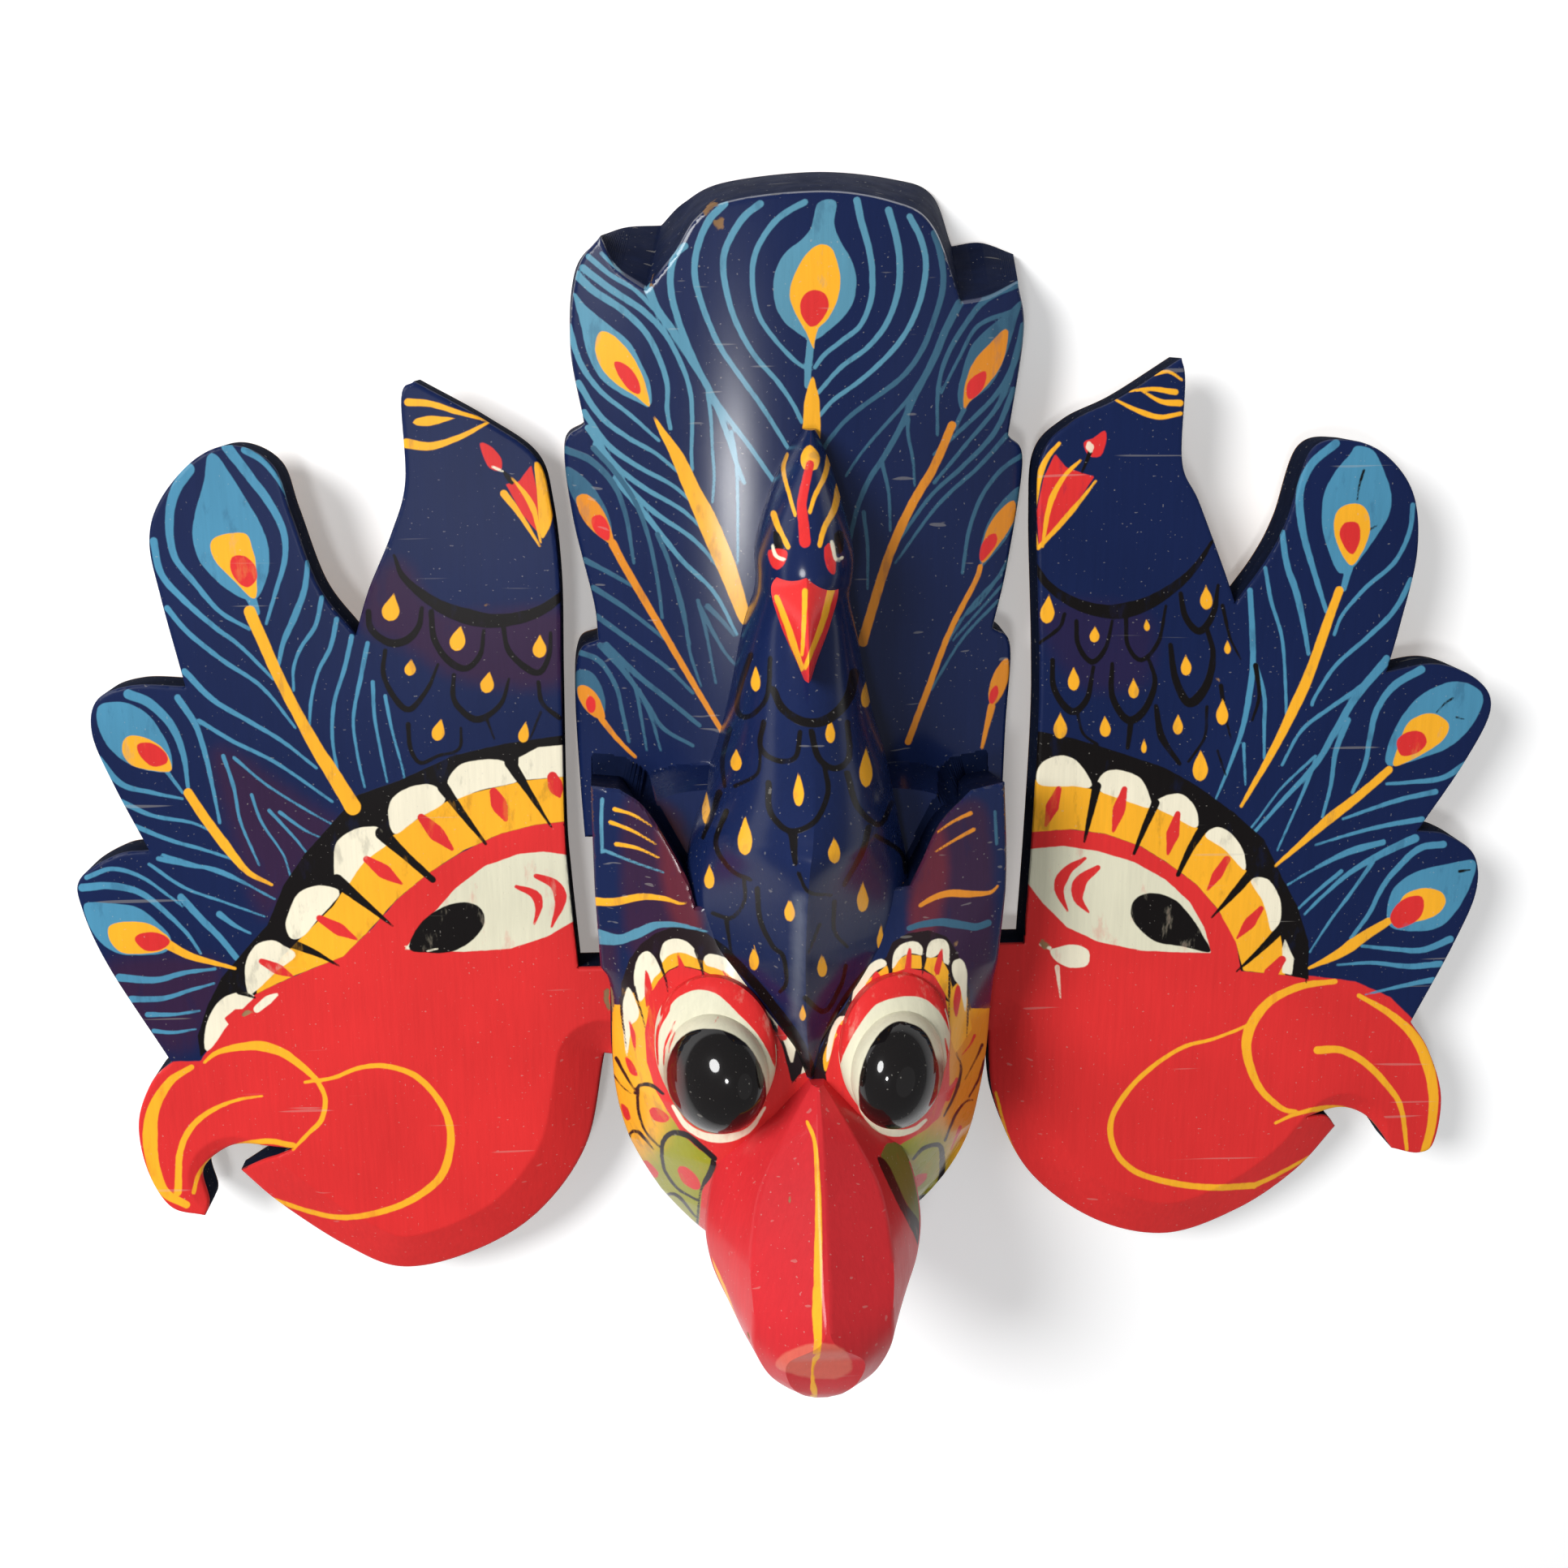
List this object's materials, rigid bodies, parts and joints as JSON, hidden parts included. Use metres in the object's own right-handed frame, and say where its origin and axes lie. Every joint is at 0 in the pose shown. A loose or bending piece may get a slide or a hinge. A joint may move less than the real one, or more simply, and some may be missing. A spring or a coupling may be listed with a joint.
{
  "type": "wall mask",
  "caption": "Carved and painted wooden peacock mask: a hollow centre block with crown, eyes and beak, and flat wing boards tenoned into its sides.",
  "frame": {"origin": "under the middle of the whole mask, on the back plane that it lies or hangs on", "axes": "+X to the viewer's right across the wings, +Y from the beak to the crown, +Z out of the mask's front"},
  "size_m": [0.351, 0.277, 0.0995],
  "materials": {
    "centre_paint": "glossy enamel paint on carved wood, navy with painted feathers, eyes and a red beak",
    "left_wing_paint": "glossy enamel paint on a sawn board, red jaw and navy painted feathers",
    "right_wing_paint": "glossy enamel paint on a sawn board, red jaw and navy painted feathers"
  },
  "bodies": {
    "root": {"centre_mask": "centre_paint", "left_wing": "left_wing_paint", "right_wing": "right_wing_paint"}
  },
  "joints": []
}
